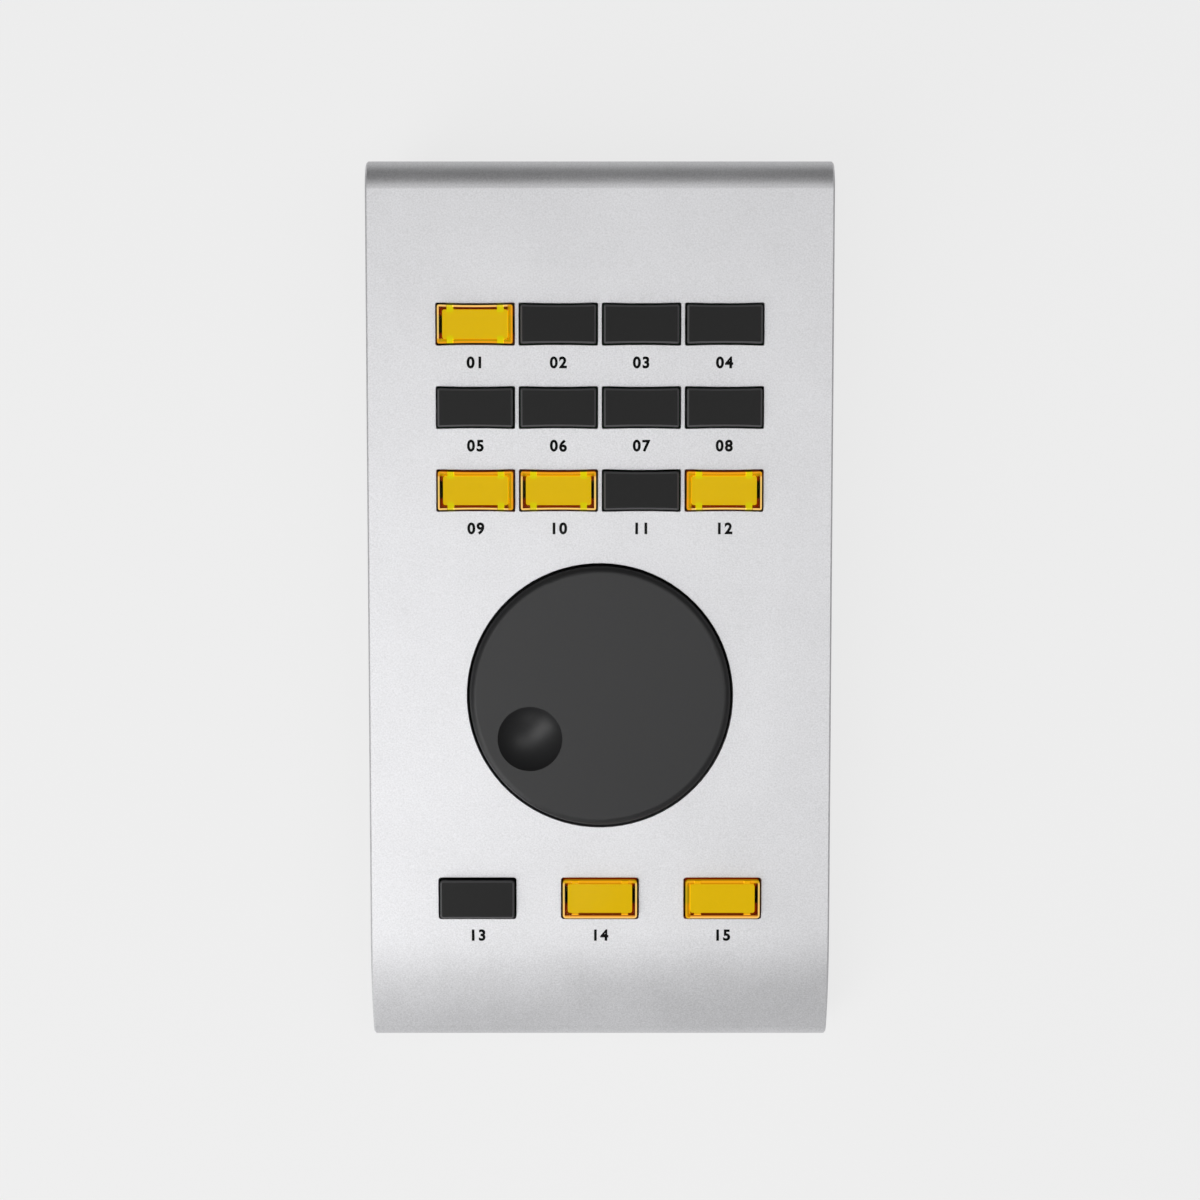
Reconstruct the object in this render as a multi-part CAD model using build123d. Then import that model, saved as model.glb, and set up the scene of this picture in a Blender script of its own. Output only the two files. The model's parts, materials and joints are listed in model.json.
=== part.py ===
from build123d import *
from math import cos, radians, sin, tan
import os

# Desktop audio remote controller: a folded aluminium case that slopes down to the front,
# fifteen lit keys and one big wheel. Millimetres. +X right, +Y to the back, +Z up.
# The origin lies on the desk, under the middle of the case.

# Case, with its length measured from the wheel's centre
body_width = 107.2
wheel_to_front = 81.1
wheel_to_back = 123.1
panel_slope = 5.3

# Folded shell, with outer bend radii
shell_thickness = 2.5
rear_bend_radius = 6.5
rear_lip_length = 8.0
nose_radius = 44.0
nose_end_angle = 37.0
front_bend_radius = 6.0
front_skirt_height = 4.0
flange_bend_radius = 3.5
front_flange_length = 14.0
shell_edge_break = 0.4
opening_edge_break = 0.1

# Key layout: columns in key pitches from the middle, rows in key pitches behind the one nearest the wheel.
# The nearest row and the lower row stand equally far from the wheel's edge.
key_pitch = 19.05
wheel_key_gap = 17.425
grid_column_shares = (-1.5, -0.5, 0.5, 1.5)
grid_row_shares = (2.0, 1.0, 0.0)
lower_column_shares = (-1.5, 0.0, 1.5)

# Key caps and the light guides inside them
window_web = 1.0
window_corner_radius = 0.35
lower_window_corner_radius = 0.6
cap_clearance = 0.4
cap_width = 8.9
cap_corner_radius = 0.45
lower_cap_corner_radius = 0.7
cap_bow = 0.18
cap_rise = 1.9
cap_skirt_depth = 5.0
cap_top_thickness = 1.4
cap_wall = 0.8
cap_bevel = 0.42
head_gap = 0.32
head_top_gap = 0.1
head_corner_radius = 0.5
collar_gap = 0.1
collar_height = 1.0
collar_notch_length = 4.0
hook_length = 1.5
hook_height = 1.4
hook_gap = 0.08
hook_top_drop = 0.6
hook_place_share = 0.67
lower_hook_reach_share = 0.4

# Key switches
key_travel = 0.8
press_clearance = 1.2
switch_height = 7.5
switch_end_inset = 1.8
switch_side_inset = 0.8
switch_floor = 1.0
switch_corner_radius = 0.4
stem_length = 6.0
stem_width = 4.0
stem_clearance = 0.15
dome_radius = 1.7
dome_height = 1.0
dome_thickness = 0.15
dome_gap = 0.05
led_length = 2.0
led_width = 2.2
led_height = 0.9
led_lens_radius = 0.8
led_lens_height = 0.4
led_gap = 0.1
led_pocket_depth = 1.4

# Main board, hung under the panel
board_thickness = 1.6
board_side_gap = 1.2
board_front_margin = 12.0
board_back_margin = 6.0
board_corner_radius = 2.0
spacer_across_flats = 5.0
spacer_inset = 4.0
near_spacer_shares = (-0.8, 0.4)
rear_spacer_share = 1.5
spacer_thread_depth = 6.0
chip_side = 10.0
chip_height = 1.4
chip_corner_break = 0.3
chip_row_share = 0.64

# Machine screws, with plain shanks in place of threads
screw_radius = 1.5
screw_clearance = 0.05
screw_length = 5.5
screw_head_radius = 2.8
screw_head_height = 1.4
screw_socket_across_flats = 2.0
screw_socket_depth = 1.0
pan_head_radius = 2.6
pan_head_height = 1.6
pan_screw_length = 5.0

# Wheel and its encoder
wheel_radius = 30.2
wheel_gap = 0.6
wheel_rise = 1.9
wheel_drop = 3.4
wheel_edge_radius = 1.6
dimple_radius = 7.5
dimple_depth = 3.9
dimple_distance = 18.95
dimple_angle = 211.3
hub_radius = 6.0
hub_drop = 4.8
hub_recess_radius = 10.0
hub_recess_depth = 1.4
hub_clearance = 0.4
shaft_radius = 3.0
shaft_flat_depth = 0.5
shaft_fit = 0.02
shaft_cover = 1.6
shaft_end_gap = 0.2
bush_radius = 4.5
bush_fit = 0.05
bush_proud = 0.3
nut_across_flats = 12.0
nut_height = 2.0
washer_radius = 6.5
washer_thickness = 0.5
encoder_length = 14.0
encoder_width = 13.0
encoder_corner_radius = 0.6
encoder_floor = 1.0
dish_floor = 1.2
dish_wall = 1.2
dish_wheel_gap = 1.4
dish_flange = 2.5

# Base, cheeks, feet and rear panel
foot_radius = 5.0
foot_height = 2.0
foot_edge_radius = 0.6
foot_side_inset = 11.0
foot_end_inset = 20.0
base_thickness = 2.0
base_reveal = 0.8
base_corner_radius = 2.0
cheek_thickness = 2.5
cheek_gap = 0.25
boss_length = 8.0
boss_width = 7.0
boss_height = 4.5
front_boss_share = -0.42
boss_board_gap = 1.5
rear_panel_thickness = 1.5
rear_panel_gap = 0.3
rear_flange_length = 10.0
rear_flange_gap = 0.5
case_screw_shares = (-0.7, 0.0, 0.7)

# Sockets and their board
io_spacer_height = 4.0
io_spacer_radius = 2.5
io_board_width = 80.0
io_board_depth = 34.0
io_board_gap = 0.3
io_hole_inset = 4.0
io_hole_row_shares = (0.12, 0.55)
socket_screw_gap = 2.4
usb_width = 12.0
usb_height = 10.9
usb_length = 16.0
usb_mouth_width = 8.5
usb_mouth_height = 7.8
usb_mouth_depth = 13.0
usb_mouth_bevel = 1.7
usb_cutout_gap = 0.3
usb_tongue_width = 5.6
usb_tongue_height = 3.2
usb_tongue_recess = 3.0
usb_insert_thickness = 4.0
usb_insert_gap = 0.05
jack_width = 14.0
jack_height = 12.0
jack_length = 29.5
jack_edge_radius = 0.8
jack_nose_radius = 4.5
jack_nose_proud = 2.1
jack_nose_fit = 0.05
jack_bore_radius = 3.25
jack_bore_depth = 30.5
jack_nut_across_flats = 11.0
jack_nut_height = 1.8
header_length = 16.0
header_depth = 6.0
header_height = 3.0
header_edge_break = 0.3
header_inset = 1.0
ribbon_width = 12.7
ribbon_thickness = 0.6
ribbon_reach = 13.0
ribbon_run = 4.5
ribbon_bend_radius = 2.5

# One overrun for every cut that has to pass a face
overrun = 1.0

# Levels and places that follow from the sizes above
slope = radians(panel_slope)
nose_end = radians(nose_end_angle)
front_y = -(wheel_to_front + wheel_to_back) / 2
back_y = -front_y
wheel_y = front_y + wheel_to_front
base_top = foot_height + base_thickness
skirt_bottom = base_top + flange_bend_radius
skirt_top = skirt_bottom + front_skirt_height
flange_tip_y = front_y + front_flange_length
nose_start_y = (front_y + front_bend_radius * (1 - sin(nose_end))
                + nose_radius * (sin(nose_end) - sin(slope)))
nose_start_z = (skirt_top + front_bend_radius * cos(nose_end)
                + nose_radius * (cos(slope) - cos(nose_end)))
nose_center = (nose_start_y + nose_radius * sin(slope), nose_start_z - nose_radius * cos(slope))
wheel_z = nose_start_z + (wheel_y - nose_start_y) * tan(slope)
rear_start_y = back_y - rear_bend_radius * (1 + sin(slope))
rear_start_z = wheel_z + (rear_start_y - wheel_y) * tan(slope)
rear_bend_z = rear_start_z - rear_bend_radius * cos(slope)
lip_bottom = rear_bend_z - rear_lip_length
rear_panel_outer = back_y - shell_thickness
rear_panel_inner = rear_panel_outer - rear_panel_thickness
cheek_outer = body_width / 2 - base_reveal
cheek_inner = cheek_outer - cheek_thickness

# The panel's own frame: origin at the wheel's centre on the panel's face, Z along its normal
panel = Plane(origin=(0, wheel_y, wheel_z), x_dir=(1, 0, 0), z_dir=(0, -sin(slope), cos(slope))).location

# Distances of the key rows from the wheel's centre
near_row = wheel_radius + wheel_key_gap
rear_row = near_row + grid_row_shares[0] * key_pitch

# Depths below the panel's face, along its normal
cap_length = key_pitch - window_web - 2 * cap_clearance
cap_inner_top = cap_rise - cap_top_thickness
switch_top = -(cap_skirt_depth + key_travel + press_clearance)
board_top = switch_top - switch_height
board_bottom = board_top - board_thickness
switch_length = cap_length - 2 * switch_end_inset
switch_width = cap_width - 2 * switch_side_inset
well_bottom = board_top + switch_floor
stem_bottom = well_bottom + dome_height + dome_gap
led_x = (stem_length / 2 + stem_clearance + switch_length / 2) / 2
nut_top = -(hub_drop + hub_clearance)
nut_bottom = nut_top - nut_height
dish_top = nut_bottom - washer_thickness
encoder_top = dish_top - dish_floor
dish_radius = wheel_radius + dish_wheel_gap

# The socket board and the sockets' axes
io_board_bottom = base_top + io_spacer_height
io_board_top = io_board_bottom + board_thickness
io_board_back = rear_panel_inner - io_board_gap
io_board_front = io_board_back - io_board_depth
io_hole_x = io_board_width / 2 - io_hole_inset
socket_side = io_hole_x - pan_head_radius - socket_screw_gap
jack_x = socket_side - jack_width / 2
jack_z = io_board_top + jack_height / 2
usb_x = -(socket_side - usb_width / 2)
usb_z = io_board_top + usb_height / 2


def block(length, width, low, high):
    """A box centred on Z, between two heights."""
    box = Box(length, width, high - low, align=(Align.CENTER, Align.CENTER, Align.MIN))
    return Pos(0, 0, low) * box


def rod(radius, low, high):
    """A cylinder on Z, between two heights."""
    cylinder = Cylinder(radius, high - low, align=(Align.CENTER, Align.CENTER, Align.MIN))
    return Pos(0, 0, low) * cylinder


def prism(sketch, low, high):
    """A sketch pulled up from one height to another."""
    return Pos(0, 0, low) * extrude(sketch, amount=high - low)


def hexagon(across_flats):
    """A hexagon given by its width across flats."""
    return RegularPolygon(across_flats / 2, 6, major_radius=False)


def toward_front(shape):
    """Turns a shape drawn along Z so that it runs from the back to the front."""
    return Rot(90, 0, 0) * shape


def save(name, solids):
    """Writes one node, which may hold several separate solids."""
    export_step(Compound(solids) if len(solids) > 1 else solids[0], f"parts/{name}.step")


def key_places():
    """Each key's place on the panel, with whether it stands in the lower row."""
    places = []
    for row in grid_row_shares:
        for column in grid_column_shares:
            places.append((column * key_pitch, near_row + row * key_pitch, False))
    for column in lower_column_shares:
        places.append((column * key_pitch, -near_row, True))
    return places


def shell_line(inset):
    """The shell's side profile at a distance inside its outer face, from front flange to rear lip."""
    lean = Vector(-sin(slope), cos(slope)) * -inset
    return [
        Line((flange_tip_y, base_top + inset), (front_y + flange_bend_radius, base_top + inset)),
        CenterArc((front_y + flange_bend_radius, skirt_bottom), flange_bend_radius - inset, 180, 90),
        Line((front_y + inset, skirt_bottom), (front_y + inset, skirt_top)),
        CenterArc((front_y + front_bend_radius, skirt_top), front_bend_radius - inset,
                  90 + nose_end_angle, 90 - nose_end_angle),
        CenterArc(nose_center, nose_radius - inset, 90 + panel_slope, nose_end_angle - panel_slope),
        Line(Vector(nose_start_y, nose_start_z) + lean, Vector(rear_start_y, rear_start_z) + lean),
        CenterArc((back_y - rear_bend_radius, rear_bend_z), rear_bend_radius - inset, 0, 90 + panel_slope),
        Line((back_y - inset, rear_bend_z), (back_y - inset, lip_bottom)),
    ]


def key_outline(margin, lower, corner):
    """A key's plan, grown by a margin, with one corner radius. The grid keys' long sides bow in a little."""
    half_length = cap_length / 2 + margin
    half_width = cap_width / 2 + margin
    if lower:
        return RectangleRounded(2 * half_length, 2 * half_width, corner)
    waist = half_width - cap_bow
    outline = make_face([
        ThreePointArc((-half_length, half_width), (0, waist), (half_length, half_width)),
        Line((half_length, half_width), (half_length, -half_width)),
        ThreePointArc((half_length, -half_width), (0, -waist), (-half_length, -half_width)),
        Line((-half_length, -half_width), (-half_length, half_width)),
    ])
    return fillet(outline.vertices(), corner)


def key_window(lower):
    """The cut for one key, with its broken upper edge."""
    corner = lower_window_corner_radius if lower else window_corner_radius
    through = prism(key_outline(cap_clearance, lower, corner), -(shell_thickness + overrun), overrun)
    wider = key_outline(cap_clearance + opening_edge_break, lower, corner + opening_edge_break)
    rim = prism(wider, -opening_edge_break, overrun)
    return through + chamfer(rim.faces().sort_by(Axis.Z)[0].edges(), opening_edge_break)


def wheel_hole():
    """The cut for the wheel, with its broken upper edge."""
    radius = wheel_radius + wheel_gap
    rim = Cone(radius, radius + 2 * opening_edge_break, 2 * opening_edge_break)
    return rod(radius, -(shell_thickness + overrun), overrun) + rim


def flat_screw():
    """A flat-head screw with its head's face at the origin, pointing up."""
    head = Cone(screw_head_radius, screw_radius, screw_head_height,
                align=(Align.CENTER, Align.CENTER, Align.MIN))
    screw = head + rod(screw_radius, screw_head_height, screw_length)
    return screw - prism(hexagon(screw_socket_across_flats), 0, screw_socket_depth)


def flat_screw_cut():
    """The countersunk hole for a flat-head screw, running past its tip."""
    head = Cone(screw_head_radius + screw_clearance, screw_radius + screw_clearance, screw_head_height,
                align=(Align.CENTER, Align.CENTER, Align.MIN))
    return head + rod(screw_radius + screw_clearance, 0, screw_length + screw_clearance)


def pan_screw():
    """A pan-head screw with its head below the origin, pointing up."""
    screw = rod(pan_head_radius, -pan_head_height, 0) + rod(screw_radius, 0, pan_screw_length)
    screw = fillet(screw.edges().group_by(Axis.Z)[0], pan_head_height / 3)
    socket = hexagon(screw_socket_across_flats)
    return screw - prism(socket, -pan_head_height, screw_socket_depth - pan_head_height)


def front_screw_places():
    """Where screws come up through the base into the shell's front flange."""
    y = (front_y + flange_bend_radius + flange_tip_y) / 2
    return [(share * body_width / 2, y) for share in case_screw_shares]


def rear_screw_places():
    """Where screws come up through the base into the rear panel's flange."""
    y = rear_panel_inner - rear_flange_length / 2
    return [(share * body_width / 2, y) for share in case_screw_shares]


def boss_places(side):
    """Where one cheek's two bosses stand on the base, the rear one in front of the socket board."""
    x = side * (cheek_inner - boss_width / 2)
    rear_y = io_board_front - boss_board_gap - boss_length / 2
    return [(x, front_boss_share * back_y), (x, rear_y)]


def base_screw_places():
    """Every screw that comes up through the base."""
    return front_screw_places() + rear_screw_places() + boss_places(-1) + boss_places(1)


def lip_screw_places():
    """Where screws go forward through the rear lip into the rear panel."""
    return [(share * body_width / 2, (lip_bottom + rear_bend_z) / 2) for share in case_screw_shares]


def lip_screw_at(shape, place):
    """Puts a shape drawn for an upright screw at one place on the rear lip."""
    x, z = place
    return Pos(x, back_y, z) * toward_front(shape)


def make_top_shell():
    """One folded sheet: flange, skirt, nose, sloping panel, rear bend and lip."""
    ends = [
        Line((flange_tip_y, base_top), (flange_tip_y, base_top + shell_thickness)),
        Line((back_y, lip_bottom), (back_y - shell_thickness, lip_bottom)),
    ]
    profile = make_face(shell_line(0) + shell_line(shell_thickness) + ends)
    shell = extrude(Plane.YZ * profile, amount=body_width / 2, both=True)
    for side in (0, -1):
        end_face = shell.faces().sort_by(Axis.X)[side]
        shell = chamfer(end_face.edges(), shell_edge_break)
    windows = {lower: key_window(lower) for lower in (False, True)}
    cuts = [panel * Pos(x, y, 0) * windows[lower] for x, y, lower in key_places()]
    cuts.append(panel * wheel_hole())
    cuts += [Pos(x, y, foot_height) * flat_screw_cut() for x, y in front_screw_places()]
    cuts += [lip_screw_at(flat_screw_cut(), place) for place in lip_screw_places()]
    return shell - cuts


def make_key_cap(lower):
    """A clear cap: bevelled top, thin walls, and slots for the light guide's hooks."""
    corner = lower_cap_corner_radius if lower else cap_corner_radius
    cap = prism(key_outline(0, lower, corner), -cap_skirt_depth, cap_rise)
    cap = chamfer(cap.faces().sort_by(Axis.Z)[-1].edges(), cap_bevel)
    cavity = RectangleRounded(cap_length - 2 * cap_wall, cap_width - 2 * cap_wall, head_corner_radius)
    cap -= prism(cavity, -(cap_skirt_depth + overrun), cap_inner_top)
    slot_reach = hook_reach(lower) + hook_gap if lower else cap_width / 2 + overrun
    return cap - hook_bars(hook_gap, slot_reach)


def hook_reach(lower):
    """How far a hook stands from the key's middle: through a grid key's wall, part way in the lower row."""
    wall_share = lower_hook_reach_share if lower else 1
    return cap_width / 2 - cap_wall + (cap_wall - cap_bow) * wall_share


def hook_bars(gap, reach):
    """Two bars across the key that make four hooks, or with a gap their slots."""
    top = cap_inner_top - hook_top_drop + gap
    bar = block(hook_length + 2 * gap, 2 * reach, top - hook_height - 2 * gap, top)
    return [Pos(side * hook_place_share * cap_length / 2, 0, 0) * bar for side in (-1, 1)]


def make_key_plunger(lower):
    """The light guide that fills a cap, with its hooks and the stem that works the switch."""
    head_length = cap_length - 2 * (cap_wall + head_gap)
    head_width = cap_width - 2 * (cap_wall + head_gap)
    head = RectangleRounded(head_length, head_width, head_corner_radius)
    plunger = prism(head, -cap_skirt_depth, cap_inner_top - head_top_gap)
    stem = block(stem_length, stem_width, stem_bottom, -cap_skirt_depth)
    return plunger + collar(head_length) + hook_bars(0, hook_reach(lower)) + stem


def collar(head_length):
    """The rim at the foot of a light guide that centres it in its cap, open in the middle of each end."""
    length = cap_length - 2 * (cap_wall + collar_gap)
    width = cap_width - 2 * (cap_wall + collar_gap)
    rim = prism(RectangleRounded(length, width, head_corner_radius), -cap_skirt_depth,
                collar_height - cap_skirt_depth)
    notch = block(overrun, collar_notch_length, -(cap_skirt_depth + overrun), cap_inner_top)
    return rim - [Pos(side * (head_length + overrun) / 2, 0, 0) * notch for side in (-1, 1)]


def make_switch_housing():
    """A switch body on the board, with a well for the stem and a pocket for the lamp."""
    body = RectangleRounded(switch_length, switch_width, switch_corner_radius)
    housing = prism(body, board_top, switch_top)
    housing -= block(stem_length + 2 * stem_clearance, stem_width + 2 * stem_clearance,
                     well_bottom, switch_top + overrun)
    pocket = block(led_length + 2 * led_gap, led_width + 2 * led_gap,
                   switch_top - led_pocket_depth, switch_top + overrun)
    return housing - Pos(led_x, 0, 0) * pocket


def make_click_dome():
    """A thin sprung dome on the well's floor, under the stem."""
    sphere_radius = (dome_radius ** 2 + dome_height ** 2) / (2 * dome_height)
    center_z = well_bottom + dome_height - sphere_radius
    dome = Sphere(sphere_radius) - Sphere(sphere_radius - dome_thickness)
    dome = Pos(0, 0, center_z) * dome
    return dome & block(4 * dome_radius, 4 * dome_radius, well_bottom, well_bottom + 2 * dome_height)


def make_key_led():
    """A flat lamp in the switch's pocket, with a low round lens."""
    low = switch_top - led_pocket_depth
    lamp = block(led_length, led_width, low, low + led_height)
    lamp += rod(led_lens_radius, low + led_height, low + led_height + led_lens_height)
    lamp = fillet(lamp.edges().group_by(Axis.Z)[-1], led_lens_height / 2)
    return Pos(led_x, 0, 0) * lamp


def make_jog_wheel():
    """The wheel: a thick disc with a rounded rim, a finger dimple and a hub below."""
    wheel = rod(wheel_radius, -wheel_drop, wheel_rise)
    wheel = fillet(wheel.edges().group_by(Axis.Z)[-1], wheel_edge_radius)
    sphere_radius = (dimple_radius ** 2 + dimple_depth ** 2) / (2 * dimple_depth)
    sphere_z = wheel_rise + sphere_radius - dimple_depth
    wheel -= Rot(0, 0, dimple_angle) * Pos(dimple_distance, 0, sphere_z) * Sphere(sphere_radius)
    wheel -= rod(hub_recess_radius, -(wheel_drop + overrun), hub_recess_depth - wheel_drop)
    wheel += rod(hub_radius, -hub_drop, hub_recess_depth - wheel_drop)
    return wheel - shaft_form(shaft_fit, -(hub_drop + overrun), wheel_rise - shaft_cover)


def shaft_form(fit, low, high):
    """The shaft's D shape, grown by a fit."""
    shaft = rod(shaft_radius + fit, low, high)
    flat_x = shaft_radius - shaft_flat_depth + fit
    return shaft & Pos(flat_x - 2 * shaft_radius, 0, 0) * block(4 * shaft_radius, 4 * shaft_radius, low, high)


def make_encoder_shaft():
    """The shaft, round in its bush and with a flat in the wheel's hub."""
    neck = nut_top + bush_proud
    low = board_top + encoder_floor + shaft_end_gap
    high = wheel_rise - shaft_cover - shaft_end_gap
    return rod(shaft_radius, low, neck) + shaft_form(0, neck, high)


def make_encoder_body():
    """The encoder's case on the board, with the threaded bush that holds the dish."""
    outline = RectangleRounded(encoder_length, encoder_width, encoder_corner_radius)
    body = prism(outline, board_top, encoder_top) + rod(bush_radius, encoder_top, nut_top + bush_proud)
    return body - rod(shaft_radius + bush_fit, board_top + encoder_floor, nut_top + overrun)


def make_encoder_nut():
    """The hexagon nut on the bush."""
    return prism(hexagon(nut_across_flats), nut_bottom, nut_top) - bush_hole()


def make_encoder_washer():
    """The flat washer under the nut."""
    return rod(washer_radius, dish_top, nut_bottom) - bush_hole()


def bush_hole():
    """The hole that goes over the encoder's bush."""
    return rod(bush_radius + bush_fit, encoder_top - overrun, nut_top + overrun)


def make_wheel_dish():
    """A dust dish under the wheel, clamped by the encoder's nut."""
    dish = rod(dish_radius + dish_wall, encoder_top, -shell_thickness)
    dish += rod(dish_radius + dish_wall + dish_flange, -(shell_thickness + dish_wall), -shell_thickness)
    return dish - rod(dish_radius, dish_top, overrun) - bush_hole()


def spacer_places():
    """Where the main board hangs from the panel: beside the wheel and between two key rows."""
    x = cheek_inner - board_side_gap - spacer_inset
    rows = [share * near_row for share in near_spacer_shares]
    rows.append(near_row + rear_spacer_share * key_pitch)
    return [(side * x, y) for y in rows for side in (-1, 1)]


def make_main_board():
    """The circuit board that carries every switch and the encoder, with its screw holes."""
    front = -near_row - board_front_margin
    back = rear_row + board_back_margin
    outline = RectangleRounded(2 * (cheek_inner - board_side_gap), back - front, board_corner_radius)
    board = Pos(0, (front + back) / 2, 0) * prism(outline, board_bottom, board_top)
    for x, y in spacer_places():
        hole = rod(screw_radius + screw_clearance, board_bottom - overrun, board_top + overrun)
        board -= Pos(x, y, 0) * hole
    return board


def make_board_spacer():
    """A hexagon pillar between the panel and the main board."""
    pillar = prism(hexagon(spacer_across_flats), board_top, -shell_thickness)
    return pillar - rod(screw_radius + screw_clearance, board_top - overrun, board_top + spacer_thread_depth)


def make_controller_chip():
    """The processor under the main board."""
    chip = block(chip_side, chip_side, board_bottom - chip_height, board_bottom)
    chip = chamfer(chip.edges().group_by(Axis.Z)[0], chip_corner_break)
    return Pos(0, chip_row_share * near_row, 0) * chip


def make_base_plate():
    """The flat bottom plate, with its countersunk screw holes."""
    length = rear_panel_outer - front_y - base_reveal
    outline = RectangleRounded(2 * cheek_outer, length, base_corner_radius)
    center_y = (rear_panel_outer + front_y + base_reveal) / 2
    plate = Pos(0, center_y, 0) * prism(outline, foot_height, base_top)
    return plate - [Pos(x, y, foot_height) * flat_screw_cut() for x, y in base_screw_places()]


def make_foot():
    """A round rubber foot with a soft lower edge."""
    foot = rod(foot_radius, 0, foot_height)
    return fillet(foot.edges().group_by(Axis.Z)[0], foot_edge_radius)


def foot_places():
    """Where the four feet stand."""
    x = body_width / 2 - foot_side_inset
    return [(side * x, end * (back_y - foot_end_inset)) for end in (-1, 1) for side in (-1, 1)]


def make_cheek(side):
    """A side cheek that follows the shell's inner profile, with two bosses for base screws."""
    inset = shell_thickness + cheek_gap
    closing = Polyline(
        (back_y - inset, lip_bottom),
        (back_y - inset, base_top),
        (flange_tip_y + cheek_gap, base_top),
        (flange_tip_y + cheek_gap, base_top + inset),
        (flange_tip_y, base_top + inset),
    )
    profile = make_face(shell_line(inset) + closing.edges())
    cheek = Pos(cheek_inner, 0, 0) * extrude(Plane.YZ * profile, amount=cheek_thickness)
    rear_cut = Box(4 * cheek_thickness, wheel_to_back, 4 * rear_bend_z,
                   align=(Align.CENTER, Align.MIN, Align.CENTER))
    cheek -= Pos(cheek_inner, rear_panel_inner - cheek_gap, 0) * rear_cut
    for x, y in boss_places(1):
        cheek += Pos(x, y, 0) * block(boss_width, boss_length, base_top, base_top + boss_height)
        cheek -= Pos(x, y, foot_height) * flat_screw_cut()
    return cheek if side > 0 else mirror(cheek, Plane.YZ)


def make_rear_panel():
    """The plate behind the rear lip that holds the sockets, with a flange on the base."""
    center_y = (rear_panel_outer + rear_panel_inner) / 2
    top = rear_bend_z - rear_panel_gap
    plate = Pos(0, center_y, 0) * block(2 * cheek_outer, rear_panel_thickness, base_top, top)
    flange_width = 2 * (cheek_inner - rear_flange_gap)
    flange = block(flange_width, rear_flange_length, base_top, base_top + rear_panel_thickness)
    plate += Pos(0, rear_panel_inner - rear_flange_length / 2, 0) * flange
    nose_hole = rod(jack_nose_radius + jack_nose_fit, -overrun, rear_panel_thickness + overrun)
    plate -= Pos(jack_x, rear_panel_outer, jack_z) * toward_front(nose_hole)
    cutout = Box(usb_width + 2 * usb_cutout_gap, 4 * rear_panel_thickness, usb_height + 2 * usb_cutout_gap)
    plate -= Pos(usb_x, center_y, usb_z) * cutout
    plate -= [lip_screw_at(flat_screw_cut(), place) for place in lip_screw_places()]
    return plate - [Pos(x, y, foot_height) * flat_screw_cut() for x, y in rear_screw_places()]


def io_hole_places():
    """Where the socket board is screwed down."""
    rows = [io_board_front + share * io_board_depth for share in io_hole_row_shares]
    return [(side * io_hole_x, y) for y in rows for side in (-1, 1)]


def make_io_board():
    """The small board that carries both sockets."""
    outline = RectangleRounded(io_board_width, io_board_depth, board_corner_radius)
    board = Pos(0, (io_board_front + io_board_back) / 2, 0) * prism(outline, io_board_bottom, io_board_top)
    for x, y in io_hole_places():
        board -= Pos(x, y, 0) * rod(screw_radius + screw_clearance, base_top, io_board_top + overrun)
    return board


def make_io_spacer():
    """A round pillar between the base and the socket board."""
    pillar = rod(io_spacer_radius, base_top, io_board_bottom)
    return pillar - rod(screw_radius + screw_clearance, base_top - overrun, io_board_bottom + overrun)


def usb_mouth(gap):
    """The socket's mouth shape, less a gap all round, with its two upper corners bevelled."""
    outline = Rectangle(usb_mouth_width - 2 * gap, usb_mouth_height - 2 * gap)
    return chamfer(outline.vertices().group_by(Axis.Y)[-1], usb_mouth_bevel)


def make_usb_socket():
    """The inlet's metal can, flush with the rear panel."""
    can = prism(Rectangle(usb_width, usb_height), 0, usb_length)
    can -= prism(usb_mouth(0), -overrun, usb_mouth_depth)
    return Pos(usb_x, rear_panel_outer, usb_z) * toward_front(can)


def make_usb_insert():
    """The inlet's plastic block with the tongue that carries the contacts."""
    insert = prism(usb_mouth(usb_insert_gap), usb_mouth_depth - usb_insert_thickness, usb_mouth_depth)
    insert += prism(Rectangle(usb_tongue_width, usb_tongue_height), usb_tongue_recess, usb_mouth_depth)
    return Pos(usb_x, rear_panel_outer, usb_z) * toward_front(insert)


def make_jack_socket():
    """The foot-switch socket: a moulded body with a round nose through the rear panel."""
    body = prism(RectangleRounded(jack_width, jack_height, jack_edge_radius), rear_panel_thickness,
                 rear_panel_thickness + jack_length)
    body += rod(jack_nose_radius, -jack_nose_proud, rear_panel_thickness)
    body -= rod(jack_bore_radius, -(jack_nose_proud + overrun), jack_bore_depth - jack_nose_proud)
    return Pos(jack_x, rear_panel_outer, jack_z) * toward_front(body)


def make_jack_nut():
    """The nut that holds the jack's nose to the rear panel."""
    nut = prism(hexagon(jack_nut_across_flats), -jack_nut_height, 0)
    nut -= rod(jack_nose_radius + jack_nose_fit, -(jack_nut_height + overrun), overrun)
    return Pos(jack_x, rear_panel_outer, jack_z) * toward_front(nut)


def make_header():
    """A low connector for the ribbon, standing on Z zero."""
    header = block(header_length, header_depth, 0, header_height)
    return chamfer(header.edges().group_by(Axis.Z)[-1], header_edge_break)


def ribbon_start():
    """Where the ribbon leaves the upper connector, along the panel, so that it reaches the socket board."""
    level = board_bottom - header_height / 2
    exit_y = io_board_front + header_inset - ribbon_reach
    return (exit_y - wheel_y + level * sin(slope)) / cos(slope)


def make_ribbon_headers():
    """One connector under the main board and one on the socket board."""
    upper = Pos(0, ribbon_start() - header_depth / 2, board_bottom) * Rot(180, 0, 0) * make_header()
    lower = Pos(0, io_board_front + header_inset + header_depth / 2, io_board_top) * make_header()
    return [panel * upper, lower]


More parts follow.
